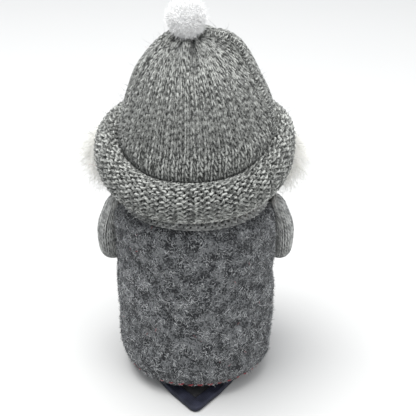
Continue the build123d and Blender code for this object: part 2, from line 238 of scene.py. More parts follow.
def fibre_tree():
    """Fine tapered hairs scattered over a surface, each with its own lean, length and curl."""
    tree, given, result = new_tree(
        "fibres",
        {
            "Density": "Float", "Seed": "Int", "Length": "Float", "Spread": "Float",
            "Lift": "Float", "Flat": "Float", "Comb": "Vector", "Steps": "Int", "Thickness": "Float",
            "Wander": "Float", "Wander Scale": "Float", "Coil": "Float", "Coils": "Float",
            "Droop": "Float", "Material": "Material",
        },
    )
    spots = place(
        tree, "GeometryNodeDistributePointsOnFaces",
        {"Mesh": given["Geometry"], "Density": given["Density"], "Seed": given["Seed"]},
    )
    line = place(tree, "GeometryNodeCurvePrimitiveLine", {"End": (0, 0, 1)})
    line = place(
        tree, "GeometryNodeResampleCurve", {"Curve": line.outputs[0], "Count": given["Steps"]}
    )
    anyway = place(
        tree, "FunctionNodeRandomValue",
        {"Min": (-1, -1, -1), "Max": (1, 1, 1), "Seed": given["Seed"]},
        data_type="FLOAT_VECTOR",
    ).outputs[0]
    normal = spots.outputs["Normal"]
    off_skin = place(tree, "ShaderNodeVectorMath", {0: anyway, 1: normal}, operation="DOT_PRODUCT").outputs[1]
    rise = sums(tree, "SUBTRACT", given["Lift"], sums(tree, "MULTIPLY", off_skin, given["Flat"]))
    upright = scaled(tree, normal, rise)
    lean = vector_sums(tree, "ADD", vector_sums(tree, "ADD", anyway, upright), given["Comb"])
    turn = place(tree, "FunctionNodeAlignRotationToVector", {"Vector": lean}, axis="Z")
    shortest = sums(tree, "SUBTRACT", 1.0, given["Spread"])
    longest = sums(tree, "ADD", 1.0, given["Spread"])
    share = place(
        tree, "FunctionNodeRandomValue", {2: shortest, 3: longest, "Seed": given["Seed"]},
        data_type="FLOAT",
    ).outputs[1]
    hairs = place(
        tree, "GeometryNodeInstanceOnPoints",
        {
            "Points": spots.outputs["Points"], "Instance": line.outputs[0],
            "Rotation": turn.outputs[0], "Scale": sums(tree, "MULTIPLY", share, given["Length"]),
        },
    )
    hairs = place(tree, "GeometryNodeRealizeInstances", {"Geometry": hairs.outputs[0]})
    along = place(tree, "GeometryNodeSplineParameter").outputs["Factor"]
    hair = place(
        tree, "GeometryNodeFieldOnDomain", {"Value": place(tree, "GeometryNodeInputIndex").outputs[0]},
        data_type="INT", domain="CURVE",
    ).outputs[0]
    own = place(
        tree, "FunctionNodeRandomValue", {"Max": (1, 1, 1), "ID": hair, "Seed": given["Seed"]},
        data_type="FLOAT_VECTOR",
    ).outputs[0]
    own_x, own_y, own_z = place(tree, "ShaderNodeSeparateXYZ", {0: own}).outputs
    here = place(tree, "GeometryNodeInputPosition").outputs[0]
    noise = place(
        tree, "ShaderNodeTexNoise",
        {"Vector": vector_sums(tree, "ADD", here, scaled(tree, own, 0.05)),
         "Scale": given["Wander Scale"], "Detail": 1.0},
    ).outputs["Color"]
    wander = scaled(tree, vector_sums(tree, "SUBTRACT", noise, (0.5, 0.5, 0.5)), given["Wander"])
    angle = sums(tree, "MULTIPLY", along, given["Coils"])
    angle = sums(tree, "ADD", angle, sums(tree, "MULTIPLY", own_x, 40.0))
    sway = place(
        tree, "ShaderNodeCombineXYZ",
        {
            0: sums(tree, "COSINE", angle),
            1: sums(tree, "SINE", sums(tree, "ADD", angle, own_y)),
            2: sums(tree, "SINE", sums(tree, "ADD", angle, sums(tree, "MULTIPLY", own_z, 6.0))),
        },
    ).outputs[0]
    coil = scaled(tree, sway, sums(tree, "MULTIPLY", given["Coil"], own_y))
    bend = scaled(tree, vector_sums(tree, "ADD", wander, coil), along)
    fall = sums(tree, "MULTIPLY", sums(tree, "POWER", along, 2.0), given["Droop"])
    fall = place(tree, "ShaderNodeCombineXYZ", {2: sums(tree, "MULTIPLY", fall, -1.0)}).outputs[0]
    hairs = place(
        tree, "GeometryNodeSetPosition",
        {"Geometry": hairs.outputs[0], "Offset": vector_sums(tree, "ADD", bend, fall)},
    )
    hairs = place(
        tree, "GeometryNodeStoreNamedAttribute",
        {"Geometry": hairs.outputs[0], "Name": "strand", "Value": own_z},
        data_type="FLOAT", domain="POINT",
    )
    section = place(tree, "GeometryNodeCurvePrimitiveCircle", {"Resolution": 3, "Radius": 1.0})
    taper = sums(tree, "SUBTRACT", 1.0, sums(tree, "MULTIPLY", sums(tree, "POWER", along, 3.0), 0.8))
    solid = place(
        tree, "GeometryNodeCurveToMesh",
        {
            "Curve": hairs.outputs[0], "Profile Curve": section.outputs[0],
            "Scale": sums(tree, "MULTIPLY", taper, given["Thickness"]), "Fill Caps": True,
        },
    )
    smooth = place(tree, "GeometryNodeSetShadeSmooth", {"Geometry": solid.outputs[0]})
    painted = place(
        tree, "GeometryNodeSetMaterial",
        {"Geometry": smooth.outputs[0], "Material": given["Material"]},
    )
    tree.links.new(painted.outputs[0], result.inputs[0])
    return tree


fibres = fibre_tree()


def grow(skin, name, finish, count, length, **values):
    """Grow about this many fibres on a surface. Lengths are in millimetres, and area sets the density."""
    area = sum(p.area for p in skin.data.polygons)
    settings = {
        "Density": count / area, "Seed": 1, "Length": length * mm, "Spread": 0.4, "Lift": 1.0,
        "Flat": 0.0, "Comb": (0.0, 0.0, 0.0), "Steps": 5, "Thickness": 0.09, "Wander": 1.5,
        "Wander Scale": 300.0,
        "Coil": 0.5, "Coils": 8.0, "Droop": 0.0, "Material": finish,
    }
    settings.update(values)
    for size in ("Thickness", "Wander", "Coil", "Droop"):
        settings[size] *= mm
    return run_tree(skin, fibres, name, **settings)


def fibre_finish(name, shades, accent=None, accent_share=0.0, patch=0.0, rough=0.9, sheen=0.1):
    """Wool fibre: each strand takes one of a range of shades, and a few take the accent colour.

    Patch makes the strands lighter and darker in soft patches a few millimetres across.
    """
    finish = bpy.data.materials.new(name)
    finish.use_nodes = True
    tree = finish.node_tree
    surface = tree.nodes["Principled BSDF"]
    strand = place(tree, "ShaderNodeAttribute", attribute_name="strand").outputs["Fac"]
    where = place(tree, "ShaderNodeTexCoord").outputs["Object"]
    patches = place(tree, "ShaderNodeTexNoise", {"Vector": where, "Scale": 230.0, "Detail": 3.0})
    depth = sums(tree, "SUBTRACT", patches.outputs["Fac"], 0.5)
    shade = sums(tree, "MULTIPLY_ADD", depth, patch, strand)
    shade = sums(tree, "MINIMUM", sums(tree, "MAXIMUM", shade, 0.0), 0.995 - accent_share)
    shade = sums(tree, "MAXIMUM", shade, sums(tree, "GREATER_THAN", strand, 1.0 - accent_share))
    ramp = place(tree, "ShaderNodeValToRGB", {"Fac": shade})
    ramp.color_ramp.elements[0].position = 0.0
    ramp.color_ramp.elements[1].position = 1.0 - accent_share - 0.004
    ramp.color_ramp.elements[0].color = (*shades[0], 1)
    ramp.color_ramp.elements[1].color = (*shades[-1], 1)
    for number, tone in enumerate(shades[1:-1], 1):
        step = ramp.color_ramp.elements.new(number / (len(shades) - 1) * (1 - accent_share))
        step.color = (*tone, 1)
    if accent:
        ramp.color_ramp.elements.new(1.0 - accent_share / 2).color = (*accent, 1)
    tree.links.new(ramp.outputs["Color"], surface.inputs["Base Color"])
    surface.inputs["Roughness"].default_value = rough
    surface.inputs["Sheen Weight"].default_value = sheen
    surface.inputs["Sheen Roughness"].default_value = 0.5
    return finish


def mottled_finish(
    name, dark, light, patch, grain, bump, rough=0.95, sheen=0.3, low=0.35, high=0.65, speckle=0.6
):
    """Matted cloth: two shades in soft patches and fine grain, with a bump at the grain's scale."""
    finish = bpy.data.materials.new(name)
    finish.use_nodes = True
    tree = finish.node_tree
    surface = tree.nodes["Principled BSDF"]
    where = place(tree, "ShaderNodeTexCoord").outputs["Object"]
    patches = place(tree, "ShaderNodeTexNoise", {"Vector": where, "Scale": patch, "Detail": 3.0})
    grains = place(tree, "ShaderNodeTexNoise", {"Vector": where, "Scale": grain, "Detail": 6.0})
    both = sums(tree, "MULTIPLY_ADD", grains.outputs["Fac"], speckle, -0.5 * speckle)
    both = sums(tree, "ADD", patches.outputs["Fac"], both)
    ramp = place(tree, "ShaderNodeValToRGB", {"Fac": both})
    ramp.color_ramp.elements[0].position = low
    ramp.color_ramp.elements[1].position = high
    ramp.color_ramp.elements[0].color = (*dark, 1)
    ramp.color_ramp.elements[1].color = (*light, 1)
    rise = place(
        tree, "ShaderNodeBump",
        {"Height": grains.outputs["Fac"], "Strength": 0.9, "Distance": bump * mm},
    )
    tree.links.new(ramp.outputs["Color"], surface.inputs["Base Color"])
    tree.links.new(rise.outputs["Normal"], surface.inputs["Normal"])
    surface.inputs["Roughness"].default_value = rough
    surface.inputs["Sheen Weight"].default_value = sheen
    surface.inputs["Sheen Roughness"].default_value = 0.5
    return finish


seam_turn = math.atan2(sleeve_radius, 5.5 * mm)  # the back seam lies a little to one side
sleeve_lumps = waves(3, 7, 2, 9)
sleeve_wrinkles = waves(4, 9, 8, 22)
corner = sleeve_radius - shoulder_round
shoulder = [
    (corner + shoulder_round * math.cos(a), sleeve_high.z - shoulder_round * (1 - math.sin(a)))
    for a in np.linspace(0, math.pi / 2, 8)
]
sleeve_outline = route(
    [
        (neck_hole_radius, sleeve_high.z - sleeve_wall),
        (sleeve_radius - 2 * sleeve_wall, sleeve_high.z - sleeve_wall),
        (sleeve_radius - sleeve_wall, sleeve_high.z - 2 * sleeve_wall),
        (sleeve_radius - sleeve_wall, sleeve_low.z + hem_curl),
        (sleeve_radius - hem_tuck - sleeve_wall, sleeve_low.z + 0.4 * mm),
        (sleeve_radius - hem_tuck - 0.5 * sleeve_wall, sleeve_low.z),
        (sleeve_radius - hem_tuck - 0.3 * mm, sleeve_low.z + 0.6 * mm),
        (sleeve_radius - 0.4 * hem_tuck, sleeve_low.z + 0.5 * hem_curl),
        (sleeve_radius - 0.1 * mm, sleeve_low.z + hem_curl),
        *shoulder,
        (neck_hole_radius, sleeve_high.z),
        (neck_hole_radius, sleeve_high.z - sleeve_wall),
    ]
)


def sleeve_point(u, v):
    """The sleeve's wall: its outline turned round the post, with lumps and the crease of its seam."""
    radius, height = sleeve_outline(v)
    turn = 2 * math.pi * u
    tuck = hem_tuck * np.clip(1 - (height - sleeve_low.z) / hem_curl, 0, 1)
    outside = np.clip((radius + tuck - sleeve_radius + 2 * mm) / mm, 0, 1)
    off_seam = (turn - seam_turn) * sleeve_radius / mm
    crease = np.exp(-((off_seam / 0.9) ** 2)) - 0.45 * np.exp(-((off_seam / 3.2) ** 2))
    uneven = 0.45 * sleeve_lumps(u, v * 2) + 0.22 * sleeve_wrinkles(u, v * 3) - 0.8 * crease
    ragged = 0.35 * sleeve_wrinkles(u, 0) * np.clip(1 - (height - sleeve_low.z) / (4 * mm), 0, 1)
    radius = radius + uneven * outside * mm
    return radius * np.cos(turn), radius * np.sin(turn), height + ragged * mm


felt = mottled_finish(
    "boiled_wool", (0.010, 0.011, 0.013), (0.170, 0.176, 0.180), 260, 1500, 0.9,
    sheen=0.05, low=0.37, high=0.66, speckle=1.6,
)
sleeve = form("wool_body", sleeve_point, 180, 150, felt, closed=True)
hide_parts("wool_sleeve")

wool_hairs = fibre_finish(
    "wool_hairs",
    [
        (0.012, 0.013, 0.015), (0.05, 0.053, 0.057), (0.16, 0.167, 0.172), (0.40, 0.41, 0.412),
        (0.60, 0.61, 0.61),
    ],
    accent=(0.42, 0.10, 0.11), accent_share=0.003, patch=2.6,
)


def half_of(skin, name, keep):
    """A copy of those faces of a surface whose middle passes the test."""
    faces = [list(p.vertices) for p in skin.data.polygons if keep(p.center)]
    mesh = bpy.data.meshes.new(name)
    mesh.from_pydata([v.co[:] for v in skin.data.vertices], [], faces)
    return shown(name, mesh)


for name, middle_turn in (("wool_nap_back", 90), ("wool_nap_left", -30), ("wool_nap_right", 210)):
    facing = Vector((math.cos(math.radians(middle_turn)), math.sin(math.radians(middle_turn)), 0))
    patch = half_of(
        sleeve, "patch",
        lambda c: Vector((c.x, c.y, 0)).angle(facing) < math.pi / 3
        and (c.xy.length > sleeve_radius - hem_tuck - 1.5 * mm or c.z > sleeve_high.z - mm),
    )
    nap = grow(
        patch, name, wool_hairs, 12000, 1.3, Lift=0.22, Flat=0.8, Steps=3, Thickness=0.09, Wander=1.3,
        **{"Wander Scale": 900.0}, Coil=0.35, Coils=9.0, Seed=5,
    )
    bpy.data.objects.remove(patch)
    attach(nap, "puppet")
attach(sleeve, "puppet")

# --- Knitted hat: crown ---------------------------------------------------------------------------
# A stuffed tube of marled grey stockinette, gathered at the top round a dimple. Its knit side shows
# as columns of V stitches, and a seam runs up its side.
head_centre = Vector(joint["head_nod"]["pos_m"])
hat_origin = head_centre + Vector((0, 0, 1.5 * mm))
hat_up = (Vector(joint["pompom_sway"]["pos_m"]) - hat_origin).normalized()
hat_right = Vector(joint["pompom_sway"]["axis"]).normalized()
hat_back = hat_up.cross(hat_right)
crown_radius = 31.5
crown_height = 53.0
crown_wall = 2.6
crown_foot = -5.0
crown_tuck = 3.0  # how far the crown draws in behind the brim
crown_lean = 2.0 * mm  # towards the seam's side
wales = 72
yarn_radius = 0.56


def knit_tree():
    """Rows of looped yarn that follow a surface by its UV map, over a sunk copy of that surface that is
    painted near-black as the shade in the holes between the stitches.
    """
    tree, given, result = new_tree(
        "knitting",
        {
            "Wales": "Int", "Courses": "Int", "Steps": "Int", "Yarn": "Float", "Reach": "Float",
            "Sway": "Float", "Depth": "Float", "Uneven": "Float", "Backing": "Float",
            "From": "Float", "To": "Float",
            "Yarn Material": "Material", "Shade Backing Material": "Material",
        },
    )
    row_steps = sums(tree, "MULTIPLY", given["Wales"], given["Steps"])
    row = place(tree, "GeometryNodeCurvePrimitiveCircle", {"Resolution": row_steps, "Radius": 1.0})
    rows = place(
        tree, "GeometryNodeDuplicateElements",
        {"Geometry": row.outputs["Curve"], "Amount": given["Courses"]}, domain="SPLINE",
    )
    step = place(tree, "GeometryNodeSplineParameter").outputs["Index"]
    course = rows.outputs["Duplicate Index"]
    angle = sums(tree, "MULTIPLY", sums(tree, "DIVIDE", step, given["Steps"]), 2 * math.pi)
    across = sums(tree, "DIVIDE", step, row_steps)
    sway = sums(tree, "MULTIPLY", sums(tree, "SINE", sums(tree, "MULTIPLY", angle, 2.0)), given["Sway"])
    reach = sums(tree, "MULTIPLY", sums(tree, "COSINE", angle), given["Reach"])
    spot = place(
        tree, "ShaderNodeCombineXYZ",
        {0: sums(tree, "MULTIPLY", across, given["Wales"]), 1: course, 2: 0.0},
    ).outputs[0]
    chance = place(
        tree, "ShaderNodeTexNoise", {"Vector": spot, "Scale": 0.8, "Detail": 2.0}
    ).outputs["Color"]
    chance = scaled(tree, vector_sums(tree, "SUBTRACT", chance, (0.5, 0.5, 0.5)), given["Uneven"])
    off_x, off_y, off_z = place(tree, "ShaderNodeSeparateXYZ", {0: chance}).outputs
    shift = sums(tree, "DIVIDE", sums(tree, "ADD", sway, off_x), given["Wales"])
    u = sums(tree, "FRACT", sums(tree, "ADD", across, shift))
    v = sums(tree, "ADD", sums(tree, "ADD", course, 0.5), sums(tree, "ADD", reach, off_y))
    v = sums(tree, "DIVIDE", v, given["Courses"])
    span = sums(tree, "SUBTRACT", given["To"], given["From"])
    v = sums(tree, "ADD", sums(tree, "MULTIPLY", v, span), given["From"])
    v = sums(tree, "MINIMUM", sums(tree, "MAXIMUM", v, 0.001), 0.999)
    uv = place(tree, "ShaderNodeCombineXYZ", {0: u, 1: v}).outputs[0]
    chart = place(
        tree, "GeometryNodeInputNamedAttribute", {"Name": "cloth"}, data_type="FLOAT_VECTOR"
    ).outputs[0]
    here = place(tree, "GeometryNodeInputPosition").outputs[0]
    normal = place(tree, "GeometryNodeInputNormal").outputs[0]
    gauge = place(tree, "GeometryNodeInputNamedAttribute", {"Name": "gauge"}, data_type="FLOAT").outputs[0]

    def from_surface(value, kind, result="Value"):
        sampler = place(tree, "GeometryNodeSampleUVSurface", data_type=kind)
        for socket, source in (
            ("Mesh", given["Geometry"]), ("Value", value), ("UV Map", chart), ("Sample UV", uv),
        ):
            tree.links.new(source, sampler.inputs[socket])
        return sampler.outputs[result]

    spot_gauge = from_surface(gauge, "FLOAT")
    depth = sums(tree, "MULTIPLY", sums(tree, "COSINE", sums(tree, "MULTIPLY", angle, 2.0)), given["Depth"])
    depth = sums(tree, "ADD", depth, sums(tree, "MULTIPLY", off_z, sums(tree, "ABSOLUTE", given["Depth"])))
    depth = sums(tree, "MULTIPLY", depth, spot_gauge)
    lifted = scaled(tree, from_surface(normal, "FLOAT_VECTOR"), depth)
    laid = place(
        tree, "GeometryNodeSetPosition",
        {
            "Geometry": rows.outputs["Geometry"],
            "Position": vector_sums(tree, "ADD", from_surface(here, "FLOAT_VECTOR"), lifted),
        },
    )
    laid = place(
        tree, "GeometryNodeStoreNamedAttribute",
        {
            "Geometry": laid.outputs[0], "Name": "yarn_along",
            "Value": sums(tree, "ADD", sums(tree, "DIVIDE", step, given["Steps"]),
                          sums(tree, "MULTIPLY", course, 0.37)),
        },
        data_type="FLOAT", domain="POINT",
    )
    # A point that finds no place on the surface's map is left out
    missed = sums(tree, "SUBTRACT", 1.0, from_surface(gauge, "FLOAT", "Is Valid"))
    laid = place(
        tree, "GeometryNodeDeleteGeometry", {"Geometry": laid.outputs[0], "Selection": missed},
        domain="POINT",
    )
    section = place(tree, "GeometryNodeCurvePrimitiveCircle", {"Resolution": 6, "Radius": 1.0})
    section = place(
        tree, "GeometryNodeStoreNamedAttribute",
        {
            "Geometry": section.outputs[0], "Name": "yarn_around",
            "Value": place(tree, "GeometryNodeSplineParameter").outputs["Factor"],
        },
        data_type="FLOAT", domain="POINT",
    )
    yarn = place(
        tree, "GeometryNodeCurveToMesh",
        {
            "Curve": laid.outputs[0], "Profile Curve": section.outputs[0],
            "Scale": sums(tree, "MULTIPLY", given["Yarn"], spot_gauge),
        },
    )
    yarn = place(tree, "GeometryNodeSetShadeSmooth", {"Geometry": yarn.outputs[0]})
    # The backing is painted shade: a sunk copy of the surface, coloured near-black so that the holes between
    # the stitches look shaded.
    sunk = scaled(tree, normal, sums(tree, "MULTIPLY", given["Backing"], -1.0))
    shade_backing = place(tree, "GeometryNodeSetPosition", {"Geometry": given["Geometry"], "Offset": sunk})
    shade_backing = place(
        tree, "GeometryNodeStoreNamedAttribute",
        {"Geometry": shade_backing.outputs[0], "Name": "shade_backing", "Value": True},
        data_type="BOOLEAN", domain="FACE",
    )
    both = place(tree, "GeometryNodeJoinGeometry")
    tree.links.new(shade_backing.outputs[0], both.inputs[0])
    tree.links.new(yarn.outputs[0], both.inputs[0])
    whole = place(tree, "GeometryNodeRealizeInstances", {"Geometry": both.outputs[0]})
    whole = place(
        tree, "GeometryNodeSetMaterial",
        {"Geometry": whole.outputs[0], "Material": given["Yarn Material"]},
    )
    is_shade_backing = place(
        tree, "GeometryNodeInputNamedAttribute", {"Name": "shade_backing"}, data_type="BOOLEAN"
    ).outputs[0]
    whole = place(
        tree, "GeometryNodeSetMaterial",
        {
            "Geometry": whole.outputs[0], "Selection": is_shade_backing,
            "Material": given["Shade Backing Material"],
        },
    )
    tree.links.new(whole.outputs[0], result.inputs[0])
    return tree


knitting = knit_tree()


# The backing finish passed in here is painted shade for the holes between the stitches.
def knit(skin, name, finish, shade_backing, stitches, courses, **values):
    """Knit a piece over a surface. Sizes are in millimetres, and a negative depth shows the purl side."""
    settings = {
        "Wales": stitches, "Courses": courses, "Steps": 12, "Yarn": yarn_radius, "Reach": 0.82,
        "Sway": 0.255, "Depth": -0.62, "Uneven": 0.26, "Backing": 0.9, "From": 0.0, "To": 1.0,
        "Yarn Material": finish, "Shade Backing Material": shade_backing,
    }
    settings.update(values)
    for size in ("Yarn", "Depth", "Backing"):
        settings[size] *= mm
    if "gauge" not in skin.data.attributes:
        skin.data.attributes.new("gauge", "FLOAT", "POINT")
        skin.data.attributes["gauge"].data.foreach_set("value", np.ones(len(skin.data.vertices)))
    return run_tree(skin, knitting, name, **settings)


def yarn_finish(name, dark, light, patch=650, twist=2.6, plies=2.0, ply_bump=0.25):
    """Marled wool yarn: plies twisted round each other, in shades that change along the yarn."""
    finish = bpy.data.materials.new(name)
    finish.use_nodes = True
    tree = finish.node_tree
    surface = tree.nodes["Principled BSDF"]
    along = place(tree, "ShaderNodeAttribute", attribute_name="yarn_along").outputs["Fac"]
    around = place(tree, "ShaderNodeAttribute", attribute_name="yarn_around").outputs["Fac"]
    turn = sums(tree, "ADD", sums(tree, "MULTIPLY", along, twist), sums(tree, "MULTIPLY", around, plies))
    ply = sums(tree, "SINE", sums(tree, "MULTIPLY", turn, 2 * math.pi))
    where = place(tree, "ShaderNodeTexCoord").outputs["Object"]
    patches = place(tree, "ShaderNodeTexNoise", {"Vector": where, "Scale": patch, "Detail": 4.0})
    grains = place(tree, "ShaderNodeTexNoise", {"Vector": where, "Scale": 2600, "Detail": 3.0})
    shade = sums(tree, "MULTIPLY_ADD", ply, 0.13, patches.outputs["Fac"])
    shade = sums(tree, "MULTIPLY_ADD", grains.outputs["Fac"], 0.5, shade)
    shade = sums(tree, "SUBTRACT", shade, 0.25)
    ramp = place(tree, "ShaderNodeValToRGB", {"Fac": shade})
    ramp.color_ramp.elements[0].position = 0.34
    ramp.color_ramp.elements[1].position = 0.70
    ramp.color_ramp.elements[0].color = (*dark, 1)
    ramp.color_ramp.elements[1].color = (*light, 1)
    height = sums(tree, "MULTIPLY_ADD", grains.outputs["Fac"], 0.8, ply)
    rise = place(
        tree, "ShaderNodeBump", {"Height": height, "Strength": 0.8, "Distance": ply_bump * mm}
    )
    tree.links.new(ramp.outputs["Color"], surface.inputs["Base Color"])
    tree.links.new(rise.outputs["Normal"], surface.inputs["Normal"])
    surface.inputs["Roughness"].default_value = 0.9
    surface.inputs["Sheen Weight"].default_value = 0.12
    surface.inputs["Sheen Roughness"].default_value = 0.5
    return finish


grey_yarn = yarn_finish("grey_yarn", (0.030, 0.032, 0.029), (0.50, 0.51, 0.48))
# Painted shade: this near-black colour on the backing under the stitches stands in for the shade in the holes
# between them.
knit_shadow = mottled_finish(
    "knit_shadow", (0.010, 0.009, 0.007), (0.032, 0.029, 0.025), 400, 1500, 0.3, sheen=0.0
)


def in_hat(radius, turn, height):
    """A point from its radius, turn and height in the hat's own frame, in millimetres."""
    side, back = radius * np.cos(turn), radius * np.sin(turn)
    return tuple(
        hat_origin[i] + (side * hat_right[i] + back * hat_back[i] + height * hat_up[i]) * mm
        for i in range(3)
    )


def bow(ends, pulls, steps):
    """Points of a cubic curve from one end to the other, drawn out by its two pulls."""
    t = np.linspace(0, 1, steps)[:, None]
    (a, d), (b, c) = np.array(ends, float), np.array(pulls, float)
    return a * (1 - t) ** 3 + 3 * b * t * (1 - t) ** 2 + 3 * c * t**2 * (1 - t) + d * t**3


dome = bow(
    [(crown_radius, 0), (0, crown_height)],
    [(crown_radius, 0.44 * crown_height), (0.54 * crown_radius, crown_height)], 60,
)
dimple_rim = 8.5
crown_outside = [
    (crown_radius, crown_foot), *[p for p in dome if p[0] > dimple_rim],
    (6.0, 51.2), (3.5, 49.2), (0.0, 48.4),
]
crown_inside = [
    (0.0, 46.0), *[(r - crown_wall, h - crown_wall) for r, h in dome[::-6] if r > dimple_rim],
    (crown_radius - crown_wall, crown_foot),
]
crown_line = route([*crown_outside, *crown_inside, crown_outside[0]])


def path_length(points):
    """The length of a line through these points."""
    return sum(math.dist(a, b) for a, b in zip(points, points[1:]))


crown_length = path_length(crown_outside)
crown_share = crown_length / path_length([*crown_outside, *crown_inside, crown_outside[0]])
crown_courses = round(crown_length / 2.4)
crown_lumps = waves(11, 6, 2, 6)
pleats = waves(12, 5, 6, 13)


def crown_point(u, v, proud=-0.6):
    """The crown: its dome, drawn into pleats towards the gathered top, with two soft folds."""
    radius, height = crown_line(v)
    turn = 2 * math.pi * u

    def bump(rise, middle, width, reach, length):
        off = np.angle(np.exp(1j * (turn - math.radians(middle))))
        return rise * np.exp(-((off / math.radians(width)) ** 2) - ((radius - reach) / length) ** 2)

    gathered = np.clip((20 - radius) / 12, 0, 1) * np.clip(radius / 8, 0.2, 1)
    swell = 0.5 * crown_lumps(u, v) * np.clip(radius / 20, 0, 1)
    folds = gathered * (0.8 * pleats(u, 0.3 * v) + 0.5 * np.sin(2 * math.pi * 11 * u))
    ear = bump(2.6, 176, 24, 13, 7)
    side = bump(1.2, 15, 22, 19, 6)
    crease = bump(-2.2, 93, 7, 8, 6)
    tuck = crown_tuck * np.clip((13 - height) / 9, 0, 1) ** 1.5
    x, y, z = in_hat(
        radius + swell + 0.8 * ear + side + proud - tuck, turn, height + folds + ear + 0.5 * side + crease
    )
    return x - crown_lean * np.clip(height / 18, 0, 1), y, z


crown_form = form("crown_form", crown_point, 159, 150, closed=True)


def off_axis(point):
    """How far a point is from the hat's axis, in millimetres."""
    return (point - hat_origin).cross(hat_up).length / mm


thinning = [min(1, max(0.5, off_axis(v.co) / 24)) for v in crown_form.data.vertices]
crown_form.data.attributes.new("gauge", "FLOAT", "POINT").data.foreach_set("value", thinning)
crown = knit(
    crown_form, "knitted_crown", grey_yarn, knit_shadow, wales, crown_courses, To=crown_share, Steps=8
)
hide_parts("hat_crown")
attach(crown, "head")

# --- Knitted hat: rolled brim ---------------------------------------------------------------------
# The hat's lower edge, rolled up on itself so that the purl side's wavy bumps show. The same
# stitches as the crown's run round it, stretched over the roll.
brim_reach = 39.5
brim_half_width = 4.8
brim_half_height = 7.4
brim_side_rise = 2.6  # the roll rides higher over the ears, and is deeper there
brim_side_depth = 0.25
brim_turns = np.radians(np.linspace(158, -165, 60))
brim_centre = brim_reach - brim_half_width - 1.0
brim_line = route(
    [(brim_centre + brim_half_width * math.cos(a), brim_half_height * math.sin(a)) for a in brim_turns]
)
brim_lumps = waves(21, 6, 2, 7)
brim_courses = 18


def brim_point(u, v):
    """The roll: an oval ring that swells and sinks a little as it goes round."""
    radius, height = brim_line(v)
    swell = 1 + 0.045 * brim_lumps(u, 0.4 * v)
    radius = brim_centre + (radius - brim_centre) * swell
    side = np.abs(np.cos(2 * math.pi * u)) ** 3
    height = height * (1 + brim_side_depth * side) + brim_side_rise * side
    return in_hat(radius, -2 * math.pi * u, height * swell + 0.35 * brim_lumps(u + 0.3, 0))


brim_form = form("brim_form", brim_point, 212, 60)
brim = knit(
    brim_form, "rolled_brim", grey_yarn, knit_shadow, wales, brim_courses,
    Depth=0.62, Yarn=0.62, Steps=9, Sway=0.17, Reach=0.80, Uneven=0.3, Backing=1.0,
)
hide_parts("hat_brim")
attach(brim, "head")

# Loose hairs that stand off the yarn
for skin, name, hairs in ((crown_form, "crown_fuzz", 1300), (brim_form, "brim_fuzz", 1000)):
    fuzz = grow(
        skin, name, wool_hairs, hairs, 3.2, Lift=0.55, Spread=0.8, Steps=4, Thickness=0.035, Wander=2.2,
        **{"Wander Scale": 500.0}, Coil=0.6, Coils=6.0, Seed=12,
    )
    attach(fuzz, "head")
    bpy.data.objects.remove(skin)

# --- Knitted hat: side seam -----------------------------------------------------------------------
# The ridge where the crown's knitted edges were sewn together, overcast with the same grey yarn from
# the brim up to the dimple.
seam_side = math.radians(166)


